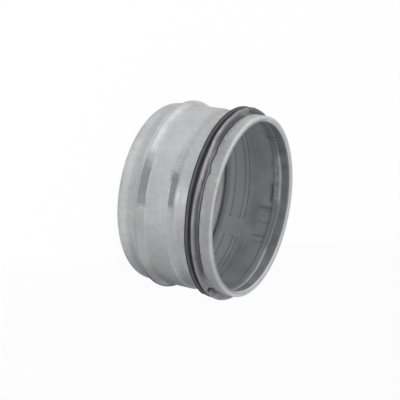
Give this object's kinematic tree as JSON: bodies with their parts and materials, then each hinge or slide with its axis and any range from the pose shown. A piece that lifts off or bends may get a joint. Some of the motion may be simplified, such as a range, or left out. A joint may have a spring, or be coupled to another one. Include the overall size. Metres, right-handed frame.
{
  "type": "duct end cap",
  "caption": "Pressed sheet-steel cup that closes a round air duct; its folded mouth edge holds a lipped rubber seal, and a raised bead stops the duct.",
  "frame": {"origin": "centre of the closed end's outer face, which the cap stands on", "axes": "+Z along the cap's axis, from the closed end to the open mouth; +X and +Y across it, with no preferred direction"},
  "size_m": [0.1048, 0.1048, 0.0578],
  "materials": {
    "galvanised_sheet": "satin zinc coat with a faint spangle",
    "seal_rubber": "matte"
  },
  "bodies": {
    "root": {"cap_shell": "galvanised_sheet", "seal_ring": "seal_rubber"}
  },
  "joints": []
}
